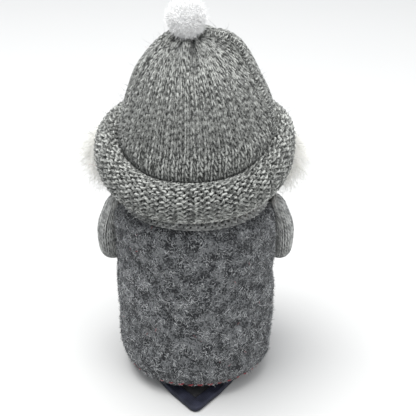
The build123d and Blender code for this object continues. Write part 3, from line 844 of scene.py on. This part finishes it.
def stitch_tree():
    """Short arched stitches, evenly spaced along a path and turned by a slant from its line."""
    tree, given, result = new_tree(
        "stitches",
        {
            "Count": "Int", "Length": "Float", "Rise": "Float", "Slant": "Float",
            "Thickness": "Float", "Material": "Material",
        },
    )
    route_line = place(tree, "GeometryNodeMeshToCurve", {"Mesh": given["Geometry"]})
    spots = place(
        tree, "GeometryNodeCurveToPoints",
        {"Curve": route_line.outputs[0], "Count": given["Count"]}, mode="COUNT",
    )
    outward = place(
        tree, "GeometryNodeInputNamedAttribute", {"Name": "outward"}, data_type="FLOAT_VECTOR"
    ).outputs[0]
    turn = place(
        tree, "FunctionNodeAlignRotationToVector", {"Vector": spots.outputs["Tangent"]}, axis="X"
    )
    turn = place(
        tree, "FunctionNodeAlignRotationToVector",
        {"Rotation": turn.outputs[0], "Vector": outward}, axis="Z", pivot_axis="X",
    )
    slant = place(tree, "FunctionNodeAxisAngleToRotation", {"Axis": (0, 0, 1), "Angle": given["Slant"]})
    turn = place(
        tree, "FunctionNodeRotateRotation",
        {"Rotation": turn.outputs[0], "Rotate By": slant.outputs[0]}, rotation_space="LOCAL",
    )
    reach = sums(tree, "MULTIPLY", given["Length"], 0.5)
    foot = sums(tree, "MULTIPLY", given["Rise"], -0.7)
    start = place(tree, "ShaderNodeCombineXYZ", {0: sums(tree, "MULTIPLY", reach, -1.0), 2: foot})
    middle = place(tree, "ShaderNodeCombineXYZ", {2: sums(tree, "MULTIPLY", given["Rise"], 2.7)})
    end = place(tree, "ShaderNodeCombineXYZ", {0: reach, 2: foot})
    arch = place(
        tree, "GeometryNodeCurveQuadraticBezier",
        {
            "Resolution": 8, "Start": start.outputs[0], "Middle": middle.outputs[0],
            "End": end.outputs[0],
        },
    )
    section = place(
        tree, "GeometryNodeCurvePrimitiveCircle", {"Resolution": 8, "Radius": given["Thickness"]}
    )
    section = place(
        tree, "GeometryNodeStoreNamedAttribute",
        {
            "Geometry": section.outputs[0], "Name": "yarn_around",
            "Value": place(tree, "GeometryNodeSplineParameter").outputs["Factor"],
        },
        data_type="FLOAT", domain="POINT",
    )
    arch = place(
        tree, "GeometryNodeStoreNamedAttribute",
        {
            "Geometry": arch.outputs[0], "Name": "yarn_along",
            "Value": place(tree, "GeometryNodeSplineParameter").outputs["Factor"],
        },
        data_type="FLOAT", domain="POINT",
    )
    stitch = place(
        tree, "GeometryNodeCurveToMesh",
        {"Curve": arch.outputs[0], "Profile Curve": section.outputs[0], "Fill Caps": True},
    )
    stitch = place(tree, "GeometryNodeSetShadeSmooth", {"Geometry": stitch.outputs[0]})
    stitches = place(
        tree, "GeometryNodeInstanceOnPoints",
        {
            "Points": spots.outputs["Points"], "Instance": stitch.outputs[0],
            "Rotation": turn.outputs[0],
        },
    )
    stitches = place(tree, "GeometryNodeRealizeInstances", {"Geometry": stitches.outputs[0]})
    stitches = place(
        tree, "GeometryNodeSetMaterial",
        {"Geometry": stitches.outputs[0], "Material": given["Material"]},
    )
    tree.links.new(stitches.outputs[0], result.inputs[0])
    return tree


stitching = stitch_tree()


def sewn_line(points, outward, closed=False):
    """A path to sew along, with the direction that faces away from the cloth at each point."""
    count = len(points)
    edges = [(i, i + 1) for i in range(count - 1)] + ([(count - 1, 0)] if closed else [])
    mesh = bpy.data.meshes.new("sewn_line")
    mesh.from_pydata([tuple(p) for p in points], edges, [])
    facing = mesh.attributes.new("outward", "FLOAT_VECTOR", "POINT")
    facing.data.foreach_set("vector", np.array([tuple(o) for o in outward], np.float32).ravel())
    line = bpy.data.objects.new("sewn_line", mesh)
    bpy.context.scene.collection.objects.link(line)
    return line


def sew(line, name, finish, count, length, rise, slant, thickness):
    """Sew this many stitches along a line. Sizes are in millimetres, and the slant is in degrees."""
    made = run_tree(
        line, stitching, name, Count=count, Length=length * mm, Rise=rise * mm,
        Slant=math.radians(slant), Thickness=thickness * mm, Material=finish,
    )
    bpy.data.objects.remove(line)
    return made


seam_shares = crown_share * np.linspace(0.2, 0.93, 60)
seam_turns = np.full(60, seam_side / (2 * math.pi))
seam_points = np.stack(crown_point(seam_turns, seam_shares, proud=0.1), axis=1)
seam_away = [Vector(p) - hat_origin - 22 * mm * hat_up for p in seam_points]
seam = sew(
    sewn_line(seam_points, seam_away), "crown_seam", grey_yarn, 40, 3.2, 0.6, 62, 0.42
)
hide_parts("hat_seam")
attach(seam, "head")

# --- Pompom ---------------------------------------------------------------------------------------
# A ball of cut white wool tied into the dimple. It is all short fibres over a small soft core.
pompom_low, pompom_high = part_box("pompom")
pompom_centre = (pompom_low + pompom_high) / 2
pompom_radius = (pompom_high.x - pompom_low.x) / 2


def ball(name, centre, radii, finish, seed, lumps=0.06, around=64, along=40):
    """A rounded blob, a little uneven, with a pole at its top and its bottom."""
    uneven = waves(seed, 6, 2, 6)

    def point(u, v):
        rise = math.pi * (v - 0.5)
        turn = 2 * math.pi * u
        swell = 1 + lumps * uneven(u, v) * np.cos(rise)
        return (
            centre.x + radii[0] * np.cos(rise) * np.cos(turn) * swell,
            centre.y + radii[1] * np.cos(rise) * np.sin(turn) * swell,
            centre.z + radii[2] * np.sin(rise) * swell,
        )

    return form(name, point, around, along, finish)


white_wool = fibre_finish(
    "white_wool", [(0.96, 0.955, 0.94), (0.975, 0.975, 0.97), (0.99, 0.99, 0.985)], rough=0.8, sheen=1.0
)
white_core = mottled_finish("white_core", (0.92, 0.915, 0.90), (0.98, 0.98, 0.97), 300, 1400, 0.5)
core = ball("pompom_core", pompom_centre, [0.8 * pompom_radius] * 3, white_core, 31)
tufts = grow(
    core, "pompom_fibres", white_wool, 4700, 1.9, Lift=0.8, Steps=5, Thickness=0.08, Wander=2.0,
    **{"Wander Scale": 500.0}, Coil=0.6, Coils=10.0, Seed=8,
)
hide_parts("pompom")
for piece in (core, tufts):
    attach(piece, "pompom")

# --- Fleece locks ---------------------------------------------------------------------------------
# Long creamy fleece that spills out from under the brim beside each cheek, in soft wavy locks.
fleece = fibre_finish(
    "fleece", [(0.88, 0.87, 0.81), (0.93, 0.92, 0.875), (0.97, 0.965, 0.94)], rough=0.75, sheen=0.8
)
fleece_root = mottled_finish("fleece_root", (0.84, 0.82, 0.75), (0.94, 0.93, 0.88), 240, 900, 0.6)
for name, side in (("left", 1), ("right", -1)):
    low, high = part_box(name + "_tuft")
    middle = (low + high) / 2 + Vector((side * -1.5, 0, 0.5)) * mm
    root = ball(name + "_lock_root", middle, (8 * mm, 8.5 * mm, 9 * mm), fleece_root, 41, lumps=0.12)
    locks = grow(
        root, name + "_locks", fleece, 2300, 8.5, Lift=0.9, Comb=(side * 0.3, 0.15, -1.0), Steps=7,
        Thickness=0.075, Wander=7.5, **{"Wander Scale": 190.0}, Coil=1.2, Coils=10.0, Droop=1.5, Seed=9,
    )
    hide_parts(name + "_tuft")
    for piece in (root, locks):
        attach(piece, "head")

# --- Beard ----------------------------------------------------------------------------------------
# A curtain of the same fleece, sewn on under the nose. It hangs over the chest and tapers to a tip.
beard_low, beard_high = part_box("beard")
beard_top = beard_high.z
beard_drop = beard_high.z - beard_low.z
beard_half_width = 22 * mm


def beard_point(u, v):
    """The beard's matted ground: a flattened curtain with rounded edges, wide above and narrow below."""
    fall = np.clip(v, 0.001, 0.999)
    side = np.cos(2 * math.pi * u)
    front = np.sin(2 * math.pi * u)
    width = beard_half_width * (1 - 0.62 * fall**1.5) * np.minimum(1, 6 * fall * 1.2 + 0.2)
    width = width * np.sqrt(np.clip(1 - fall**8, 0, 1))
    thickness = 2.6 * mm * np.sqrt(np.clip(1 - (2 * fall - 1) ** 6, 0, 1))
    reach = 28.5 * mm + 11.5 * mm * np.clip((fall - 0.02) / 0.32, 0, 1) ** 0.8 - thickness * front
    x = width * side
    turn = x / (34 * mm)
    return reach * np.sin(turn), -reach * np.cos(turn), beard_top - 1 * mm - fall * (beard_drop - 3 * mm)


beard_ground = form("beard_ground", beard_point, 72, 60, fleece_root)
for name, seed, count in (("beard_locks_under", 10, 1700), ("beard_locks_over", 11, 1700)):
    strands = grow(
        beard_ground, name, fleece, count, 12.0, Lift=0.45, Comb=(0.0, -0.15, -1.5), Steps=7,
        Thickness=0.10, Wander=5.5, **{"Wander Scale": 150.0}, Coil=0.9, Coils=8.0, Droop=1.0, Seed=seed,
    )
    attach(strands, "head")
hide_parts("beard")
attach(beard_ground, "head")

# --- Head -----------------------------------------------------------------------------------------
# A ball of filling in stretch cloth, drawn in under the chin, with a felted nose sewn to it. The
# face is plain: the hat comes down over the brow.
skin_cloth = mottled_finish(
    "stretch_cloth", (0.60, 0.40, 0.30), (0.76, 0.56, 0.44), 90, 2400, 0.12, sheen=0.2, low=0.2, high=0.8
)
cover_low, cover_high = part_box("head_cover")
head_radius = cover_high.x
tube_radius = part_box("finger_tube")[1].x
cheeks = waves(51, 5, 1, 5)
chin = math.asin((cover_low.z - head_centre.z) / head_radius)
ball_line = [
    (head_radius * math.cos(a), head_centre.z + head_radius * math.sin(a))
    for a in np.linspace(chin + 0.06, 0.5 * math.pi, 40)
]
cover_line = route(
    [
        (tube_radius, cover_low.z + 1.2 * mm), (tube_radius, cover_low.z),
        (0.85 * head_radius * math.cos(chin), cover_low.z), *ball_line, (0, cover_high.z - 1.2 * mm),
        *[(0.955 * r, head_centre.z + 0.955 * (z - head_centre.z)) for r, z in ball_line[::-2]],
        (0.8 * head_radius * math.cos(chin), cover_low.z + 1.2 * mm),
        (tube_radius, cover_low.z + 1.2 * mm),
    ]
)


def cover_point(u, v):
    """The head's cover: a ball with soft cheeks and fine gathers where it is drawn in below."""
    radius, height = cover_line(v)
    below = np.clip((head_centre.z - 8 * mm - height) / (5 * mm), 0, 1)
    outward = np.clip((radius - tube_radius) / (3 * mm), 0, 1)
    gathers = below * np.sin(2 * math.pi * 26 * u) * 0.4 * mm * outward
    radius = radius * (1 + 0.006 * cheeks(u, 0.4)) + gathers
    return radius * np.cos(2 * math.pi * u), radius * np.sin(2 * math.pi * u), height


cover = form("cloth_head", cover_point, 160, 120, skin_cloth, closed=True)
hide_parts("head_cover")
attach(cover, "head")

nose_low, nose_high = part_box("nose")
nose_felt = mottled_finish("nose_felt", (0.46, 0.20, 0.15), (0.72, 0.42, 0.33), 260, 1500, 0.35)
nose_hairs = fibre_finish("nose_hairs", [(0.50, 0.24, 0.18), (0.80, 0.52, 0.42)])
nose_middle = Vector((0, nose_low.y + 4.6 * mm, (nose_low.z + nose_high.z) / 2))
nose = ball("felt_nose", nose_middle, [4.5 * mm] * 3, nose_felt, 61, lumps=0.03)
nose_nap = grow(
    nose, "nose_nap", nose_hairs, 1300, 1.3, Lift=0.5, Steps=4, Thickness=0.05, Wander=1.2,
    Coil=0.3, Seed=12,
)
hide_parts("nose")
for piece in (nose, nose_nap):
    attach(piece, "head")

# --- Neck -----------------------------------------------------------------------------------------
# Cloth gathered round the finger tube and tied with two turns of twisted cord.
gather_low, gather_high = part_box("neck_gather")
gather_radius = gather_high.x


def gather_point(u, v):
    """The gathered neck: a short pleated tube with an inner and an outer wall."""
    radius, height = gather_line(v)
    outside = np.clip((radius - tube_radius - 0.3 * mm) / mm, 0, 1)
    pull = np.exp(-(((height - tie_height) / (1.4 * mm)) ** 2))
    pleat = 0.45 * mm * np.sin(2 * math.pi * 22 * u) * outside * (1 - 0.7 * pull)
    return (
        (radius + pleat - 0.5 * mm * pull * outside) * np.cos(2 * math.pi * u),
        (radius + pleat - 0.5 * mm * pull * outside) * np.sin(2 * math.pi * u),
        height,
    )


tie_low, tie_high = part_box("neck_tie")
tie_height = (tie_low.z + tie_high.z) / 2
gather_line = route(
    [
        (tube_radius + 0.05 * mm, gather_high.z), (tube_radius + 0.05 * mm, gather_low.z),
        (gather_radius - 0.4 * mm, gather_low.z), (gather_radius - 0.2 * mm, gather_high.z),
        (tube_radius + 0.05 * mm, gather_high.z),
    ]
)
neck_cotton = mottled_finish(
    "neck_cotton", (0.56, 0.54, 0.49), (0.76, 0.74, 0.69), 150, 3000, 0.1, sheen=0.15, low=0.2, high=0.8
)
gather = form("gathered_neck", gather_point, 264, 60, neck_cotton, closed=True)
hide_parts("neck_gather")
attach(gather, "neck")


def cord_tree():
    """A round cord or thread that follows a path, with where it is along and round its twist."""
    tree, given, result = new_tree(
        "cord_run", {"Thickness": "Float", "Pitch": "Float", "Material": "Material"}
    )
    line = place(tree, "GeometryNodeMeshToCurve", {"Mesh": given["Geometry"]})
    length = place(tree, "GeometryNodeSplineParameter").outputs["Length"]
    line = place(
        tree, "GeometryNodeStoreNamedAttribute",
        {
            "Geometry": line.outputs[0], "Name": "yarn_along",
            "Value": sums(tree, "DIVIDE", length, given["Pitch"]),
        },
        data_type="FLOAT", domain="POINT",
    )
    section = place(
        tree, "GeometryNodeCurvePrimitiveCircle", {"Resolution": 10, "Radius": given["Thickness"]}
    )
    section = place(
        tree, "GeometryNodeStoreNamedAttribute",
        {
            "Geometry": section.outputs[0], "Name": "yarn_around",
            "Value": place(tree, "GeometryNodeSplineParameter").outputs["Factor"],
        },
        data_type="FLOAT", domain="POINT",
    )
    solid = place(
        tree, "GeometryNodeCurveToMesh",
        {"Curve": line.outputs[0], "Profile Curve": section.outputs[0], "Fill Caps": True},
    )
    solid = place(tree, "GeometryNodeSetShadeSmooth", {"Geometry": solid.outputs[0]})
    solid = place(tree, "GeometryNodeRealizeInstances", {"Geometry": solid.outputs[0]})
    solid = place(
        tree, "GeometryNodeSetMaterial",
        {"Geometry": solid.outputs[0], "Material": given["Material"]},
    )
    tree.links.new(solid.outputs[0], result.inputs[0])
    return tree


cord_runs = cord_tree()


def wound(name, points, finish, thickness, pitch):
    """A thread along these points. Its radius and the pitch of its twist are in millimetres."""
    line = sewn_line(points, [(0, 0, 1)] * len(points))
    made = run_tree(line, cord_runs, name, Thickness=thickness * mm, Pitch=pitch * mm, Material=finish)
    bpy.data.objects.remove(line)
    return made


tie_cord = yarn_finish("tie_cord", (0.42, 0.40, 0.35), (0.82, 0.80, 0.74), twist=1.0, plies=3.0)
tie_turns = np.linspace(0, 2.15 * 2 * math.pi, 130)
tie_radius = gather_radius + 0.35 * mm
tie_points = [
    (tie_radius * math.cos(t), tie_radius * math.sin(t), tie_low.z + 0.45 * mm + 0.8 * mm * t / tie_turns[-1])
    for t in tie_turns
]
tie = wound("neck_cord", tie_points, tie_cord, 0.45, 1.6)
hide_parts("neck_tie")
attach(tie, "neck")

# --- Collar ---------------------------------------------------------------------------------------
# A flat knitted ring in a finer grey yarn, laid on the shoulders under the hat.
fine_yarn = yarn_finish("fine_yarn", (0.16, 0.165, 0.16), (0.47, 0.475, 0.46), patch=420, ply_bump=0.15)
collar_low, collar_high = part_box("neck_yoke")
collar_section = [
    (neck_hole_radius, collar_high.z), (neck_hole_radius, collar_low.z + 0.3 * mm),
    (collar_high.x - 0.8 * mm, collar_low.z + 0.3 * mm), (collar_high.x, collar_low.z + 1.1 * mm),
    (collar_high.x - 0.8 * mm, collar_high.z), (neck_hole_radius, collar_high.z),
]
collar_line = route(collar_section)


def collar_point(u, v):
    """The collar: its flattened section turned round the neck."""
    radius, height = collar_line(v)
    return radius * np.cos(2 * math.pi * u), radius * np.sin(2 * math.pi * u), height


collar_form = form("collar_form", collar_point, 132, 40, closed=True)
collar = knit(
    collar_form, "knitted_collar", fine_yarn, knit_shadow, 66, 12, Steps=6, Yarn=0.5, Depth=0.4,
    Backing=0.6,
)
bpy.data.objects.remove(collar_form)
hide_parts("neck_yoke")
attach(collar, "puppet")

# --- Sleeve lining and hem ------------------------------------------------------------------------
# A plain cotton tube lines the felt, and a red running stitch holds it along the hem.
cotton = mottled_finish(
    "cotton", (0.60, 0.58, 0.53), (0.78, 0.76, 0.71), 120, 3200, 0.1, sheen=0.15, low=0.2, high=0.8
)
lining_low, lining_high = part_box("sleeve_lining")
lining_folds = waves(71, 6, 3, 12)
lining_line = route(
    [
        (lining_high.x, lining_low.z), (lining_high.x, lining_high.z),
        (lining_high.x - 0.6 * mm, lining_high.z), (lining_high.x - 0.6 * mm, lining_low.z),
        (lining_high.x, lining_low.z),
    ]
)


def lining_point(u, v):
    """The lining: a thin tube that stands a little off the felt in shallow folds."""
    radius, height = lining_line(v)
    radius = radius - (0.15 + 0.15 * lining_folds(u, 0)) * mm
    return radius * np.cos(2 * math.pi * u), radius * np.sin(2 * math.pi * u), height


lining = form("cotton_lining", lining_point, 120, 60, cotton, closed=True)
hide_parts("sleeve_lining")
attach(lining, "puppet")

red_thread = yarn_finish("red_thread", (0.22, 0.025, 0.03), (0.52, 0.10, 0.11), twist=3.0, ply_bump=0.08)
hem_low, hem_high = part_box("hem_stitching")
hem_height = (hem_low.z + hem_high.z) / 2
hem_radius = math.hypot(hem_high.x, 1.2 * mm) - 1.2 * mm
hem_turns = np.linspace(0, 2 * math.pi, 240, endpoint=False)
hem_line = sewn_line(
    [(hem_radius * math.cos(t), hem_radius * math.sin(t), hem_height) for t in hem_turns],
    [(math.cos(t), math.sin(t), -0.3) for t in hem_turns],
    closed=True,
)
hem = sew(hem_line, "hem_stitches", red_thread, 46, 2.4, 0.4, 8, 0.27)
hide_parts("hem_stitching")
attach(hem, "puppet")

# --- Arms -----------------------------------------------------------------------------------------
# Each arm is a flat stuffed tube of fine ribbed knitting that hangs from the shoulder and bends
# forward at the elbow. Its felt mitten is sewn on at the wrist, and it swings on a thread.
arm_rib = yarn_finish("arm_yarn", (0.15, 0.155, 0.15), (0.46, 0.465, 0.45), patch=420, ply_bump=0.12)
mitten_felt = mottled_finish("mitten_felt", (0.25, 0.03, 0.035), (0.48, 0.085, 0.09), 220, 1300, 0.4)
mitten_hairs = fibre_finish("mitten_hairs", [(0.30, 0.04, 0.045), (0.60, 0.16, 0.16)])
arm_thread = yarn_finish("arm_thread", (0.18, 0.18, 0.18), (0.42, 0.42, 0.42), twist=2.0, ply_bump=0.1)
arm_half_width = 5.9 * mm
arm_half_thickness = 3.5 * mm


def limb(name, line, swell, hug, thickness, x, side, finish=None):
    """A stuffed limb: a flattened round section carried along a bent line beside the body.

    Swell scales its section and hug moves it towards the body, each as it changes along the line.
    """
    spine = route(line)

    def point(u, v):
        y, z = spine(v)
        ahead_y, ahead_z = spine(np.clip(v + 0.04, 0, 1))
        behind_y, behind_z = spine(np.clip(v - 0.04, 0, 1))
        run_y, run_z = ahead_y - behind_y, ahead_z - behind_z
        length = np.hypot(run_y, run_z)
        taper = np.interp(v, *zip(*swell))
        inward = np.interp(v, *zip(*hug)) * mm
        turn = 2 * math.pi * u
        across = arm_half_width * taper * np.sign(np.cos(turn)) * np.abs(np.cos(turn)) ** 0.85
        out = thickness * taper * np.sign(np.sin(turn)) * np.abs(np.sin(turn)) ** 0.85
        return side * (x - inward) + out, y - run_z / length * across, z + run_y / length * across

    return form(name, point, 64, 60, finish)


for name, side in (("left", 1), ("right", -1)):
    body = name + "_arm"
    low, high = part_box(body)
    middle = abs(low.x + high.x) / 2
    shoulder = Vector(joint[name + "_arm_swing"]["pos_m"])
    arm_line = [
        (0, 78 * mm), (0, 67 * mm), (-0.5 * mm, 60 * mm), (-3 * mm, 55 * mm), (-8 * mm, 51 * mm),
        (-15 * mm, 46.5 * mm),
    ]
    arm_swell = [
        (0, 0.0), (0.03, 0.45), (0.10, 0.78), (0.35, 1.0), (0.7, 0.98), (0.9, 0.84), (0.98, 0.7), (1, 0.0),
    ]
    arm_hug = [(0, 4.2), (0.12, 2.6), (0.28, 0.6), (0.4, 0), (0.6, 0), (0.75, 0.8), (1, 1.6)]
    arm_form = limb(body + "_form", arm_line, arm_swell, arm_hug, arm_half_thickness, middle, side)
    arm = knit(
        arm_form, "knitted_" + body, arm_rib, knit_shadow, 16, 22, Steps=10, Yarn=0.42, Depth=-0.35,
        Backing=0.45, Sway=0.17, Uneven=0.12,
    )
    bpy.data.objects.remove(arm_form)
    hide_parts(body)

    mitten_line = [
        (-12 * mm, 48.5 * mm), (-17 * mm, 45.7 * mm), (-22 * mm, 43 * mm), (-27 * mm, 40 * mm)
    ]
    mitten_swell = [(0, 0.0), (0.03, 0.5), (0.15, 0.64), (0.5, 0.78), (0.8, 0.68), (0.94, 0.42), (1, 0.0)]
    mitten = limb(
        name + "_felt_mitten", mitten_line, mitten_swell, [(0, 1.4), (1, 1.8)],
        0.95 * arm_half_thickness, middle, side, mitten_felt,
    )
    nap = grow(
        mitten, name + "_mitten_nap", mitten_hairs, 1500, 1.2, Lift=0.4, Steps=4, Thickness=0.05,
        Wander=1.2, Coil=0.3, Seed=13,
    )
    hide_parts(name + "_mitten")

    shank_low, shank_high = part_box(body + "_thread")
    strands = []
    for turn in np.linspace(0, 2 * math.pi, 4, endpoint=False):
        across = Vector((0, 0.6 * math.cos(turn), 0.6 * math.sin(turn))) * mm
        strands += [
            Vector((shank_low.x, shoulder.y, shoulder.z)) + across,
            Vector((shank_high.x, shoulder.y, shoulder.z)) + across,
        ]
    shank = wound(body + "_shank", strands, arm_thread, 0.5, 1.2)
    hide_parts(body + "_thread")

    for piece, slot in ((arm, "arm_knit"), (mitten, "mitten_felt"), (nap, "mitten_felt"), (shank, "thread")):
        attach(piece, body)

# --- Stand ----------------------------------------------------------------------------------------
# A pointed steel plate with felt beneath, edged with a strip of navy leather round a black felt
# inlay. An oiled beech post with a ball on it is screwed up from below, through a brass ferrule.


def repaint(node, finish):
    """Give a carried-over node this finish."""
    slots = frame["nodes"][node].data.materials
    slots.clear()
    slots.append(finish)


def worn_finish(name, dark, light, stretch, metal, rough, grain, bump, coat=0.0):
    """Wood, card or metal: grain stretched along the height, and a little wear in its gloss."""
    finish = bpy.data.materials.new(name)
    finish.use_nodes = True
    tree = finish.node_tree
    surface = tree.nodes["Principled BSDF"]
    where = place(tree, "ShaderNodeTexCoord").outputs["Object"]
    drawn = vector_sums(tree, "MULTIPLY", where, stretch)
    streaks = place(
        tree, "ShaderNodeTexNoise", {"Vector": drawn, "Scale": grain, "Detail": 6.0, "Distortion": 0.6}
    )
    fine = place(tree, "ShaderNodeTexNoise", {"Vector": drawn, "Scale": 5 * grain, "Detail": 3.0})
    shade = sums(tree, "MULTIPLY_ADD", fine.outputs["Fac"], 0.35, streaks.outputs["Fac"])
    ramp = place(tree, "ShaderNodeValToRGB", {"Fac": sums(tree, "SUBTRACT", shade, 0.17)})
    ramp.color_ramp.elements[0].position = 0.32
    ramp.color_ramp.elements[1].position = 0.70
    ramp.color_ramp.elements[0].color = (*dark, 1)
    ramp.color_ramp.elements[1].color = (*light, 1)
    gloss = sums(tree, "MULTIPLY_ADD", streaks.outputs["Fac"], 0.25, rough - 0.12)
    rise = place(tree, "ShaderNodeBump", {"Height": shade, "Strength": 0.6, "Distance": bump * mm})
    tree.links.new(ramp.outputs["Color"], surface.inputs["Base Color"])
    tree.links.new(gloss, surface.inputs["Roughness"])
    tree.links.new(rise.outputs["Normal"], surface.inputs["Normal"])
    surface.inputs["Metallic"].default_value = metal
    surface.inputs["Coat Weight"].default_value = coat
    return finish


black_felt = mottled_finish(
    "black_felt", (0.004, 0.004, 0.005), (0.016, 0.016, 0.018), 500, 1800, 0.35, sheen=0.05
)
repaint("base_pad", black_felt)
dark_paint = worn_finish(
    "dark_paint", (0.008, 0.009, 0.013), (0.016, 0.017, 0.024), (1, 1, 1), 0.0, 0.45, 300, 0.03
)
repaint("base_plate", dark_paint)
beech = worn_finish(
    "oiled_beech", (0.40, 0.23, 0.11), (0.68, 0.46, 0.27), (1, 1, 0.08), 0.0, 0.5, 420, 0.05, coat=0.1
)
repaint("stand_post", beech)
repaint("post_knob", beech)
satin_brass = worn_finish(
    "satin_brass", (0.55, 0.38, 0.15), (0.80, 0.60, 0.30), (0.05, 0.05, 1), 1.0, 0.35, 2000, 0.01
)
repaint("post_ferrule", satin_brass)
plain_steel = worn_finish(
    "plain_steel", (0.42, 0.42, 0.44), (0.62, 0.62, 0.64), (0.05, 0.05, 1), 1.0, 0.35, 2000, 0.01
)
repaint("post_screw", plain_steel)
card = worn_finish("card", (0.44, 0.33, 0.22), (0.64, 0.52, 0.37), (1, 1, 0.3), 0.0, 0.85, 500, 0.05)
repaint("finger_tube", card)
repaint("tube_cap", card)
filling = mottled_finish("fibre_filling", (0.70, 0.69, 0.66), (0.92, 0.91, 0.89), 300, 1200, 0.5)
repaint("head_stuffing", filling)
repaint("hat_stuffing", filling)
button_plastic = worn_finish(
    "button_plastic", (0.03, 0.03, 0.04), (0.10, 0.10, 0.12), (1, 1, 1), 0.0, 0.4, 500, 0.02
)
for name in ("left", "right"):
    repaint(name + "_arm_button", button_plastic)
repaint("pompom_tie", arm_thread)

inlay_felt = fibre_finish("inlay_hairs", [(0.003, 0.003, 0.004), (0.022, 0.022, 0.026)], sheen=0.0)
inlay_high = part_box("base_inlay")[1]
repaint("base_inlay", black_felt)
inlay_copy = half_of(
    frame["nodes"]["base_inlay"], "patch", lambda c: c.z > inlay_high.z - 0.05 * mm
)
inlay_nap = grow(
    inlay_copy, "inlay_nap", inlay_felt, 1700, 0.9, Lift=0.5, Steps=4, Thickness=0.06, Wander=1.0,
    Coil=0.3, Seed=14,
)
bpy.data.objects.remove(inlay_copy)
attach(inlay_nap, "stand")

rim_low, rim_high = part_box("base_rim")
rim_width = 4.4 * mm
pad_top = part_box("base_pad")[1].z
rim_reach = rim_high.y
rim_front = rim_high.x
tip_round = 1.9 * mm
side_reach = 22 * mm
side_swell = 0.8 * mm
edge_wrap = 0.7 * mm


def rim_edge(inset):
    """The rim's outline at this distance in from its edge, as points that go once round."""
    tip_round_here = max(tip_round - inset, 0.3 * mm)
    tip_centre = rim_reach - tip_round
    side_radius = rim_front + (tip_round - rim_front) * side_reach / tip_centre + side_swell
    slope = (side_radius - tip_round) / (tip_centre - side_reach)
    shift = (inset + tip_round_here - tip_round) / slope
    rounds = [
        (0, rim_front - inset), (side_reach, side_radius - inset), (tip_centre - shift, tip_round_here)
    ]
    turns = np.concatenate([np.linspace(-0.5, 0.5, 241), np.linspace(0.5, 1.5, 241)[1:-1]]) * math.pi
    reach = np.array([[c * math.sin(t) + r for c, r in rounds] for t in turns])
    best = reach.argmax(axis=1)
    y = np.array([rounds[b][0] for b in best])
    r = np.array([rounds[b][1] for b in best])
    return r * np.cos(turns), y + r * np.sin(turns)


rim_insets = np.linspace(-edge_wrap, rim_width, 52)
rim_edges = [rim_edge(inset) for inset in rim_insets]
rim_table_x = np.array([e[0] for e in rim_edges])
rim_table_y = np.array([e[1] for e in rim_edges])


def rim_point(u, v):
    """The edging: a folded strip with a rounded outer edge and fine raised lines along it."""
    rows, columns = rim_table_x.shape
    column = np.round(u * columns).astype(int) % columns
    top = np.clip((v - 0.10) / 0.80, 0, 1)
    row = np.round(top * (rows - 1)).astype(int)
    edge = np.clip(np.minimum(top / 0.10, (1 - top) / 0.05), 0, 1)
    lines = 0.5 + 0.5 * np.cos(2 * math.pi * 7 * top)
    height = rim_high.z + (0.05 - 0.55 * (1 - np.sqrt(edge)) + 0.16 * lines * edge) * mm
    height = np.where(v < 0.05, pad_top + 0.05 * mm, np.where(v > 0.95, rim_low.z, height))
    return rim_table_x[row, column], rim_table_y[row, column], height


navy_leather = mottled_finish(
    "navy_leather", (0.008, 0.009, 0.016), (0.022, 0.024, 0.040), 260, 1600, 0.12, rough=0.55, sheen=0.0
)
navy_leather.node_tree.nodes["Principled BSDF"].inputs["Specular IOR Level"].default_value = 0.2
rim = form("leather_edging", rim_point, 360, 40, navy_leather, closed=True)
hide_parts("base_rim")
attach(rim, "stand")
